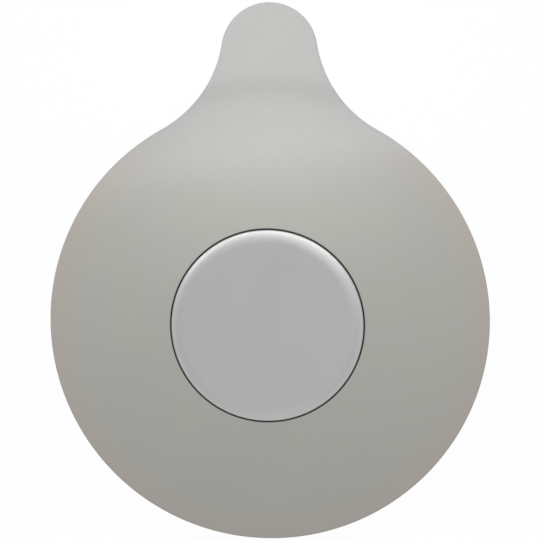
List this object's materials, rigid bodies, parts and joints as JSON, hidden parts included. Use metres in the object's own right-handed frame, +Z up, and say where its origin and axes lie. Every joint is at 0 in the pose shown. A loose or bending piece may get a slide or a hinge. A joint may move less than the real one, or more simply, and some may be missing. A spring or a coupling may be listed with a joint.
{
  "type": "drain stopper",
  "caption": "Flat round silicone stopper for a bath or basin drain, domed, with a pull tab at the edge and a weighted satin steel disc clamped in the middle.",
  "frame": {"origin": "on the axis of the cap, in the plane of the sealing lip that lies on the bath floor", "axes": "+Z up away from the floor, +Y from the axis towards the tip of the pull tab, +X to the right seen from above"},
  "size_m": [0.108, 0.1319, 0.0128],
  "materials": {
    "silicone": "satin moulded silicone, light warm grey",
    "satin_steel": "fine satin brush with a polished round edge",
    "iron": "plain cast and turned",
    "plate_plastic": "fine moulded grain, grey",
    "screw_steel": "plain stainless"
  },
  "bodies": {
    "cap": {"silicone_cap": "silicone"},
    "tab": {"pull_tab": "silicone"},
    "disc": {"steel_cover": "satin_steel", "weight_slug": "iron", "clamp_plate": "plate_plastic", "clamp_screw": "screw_steel"}
  },
  "joints": [
    {"name": "tab_flex", "type": "hinge", "parent": "cap", "child": "tab", "pos_m": [0, 0.0617, 0.0032], "axis": [1, 0, 0], "range_deg": [0, 85], "stiffness_Nm_per_rad": 0.004},
    {"name": "center_press", "type": "slide", "parent": "cap", "child": "disc", "axis": [0, 0, -1], "range_m": [0, 0.0025], "stiffness_N_per_m": 2000, "springref_m": -0.0006, "deforming": ["silicone_cap"]}
  ]
}
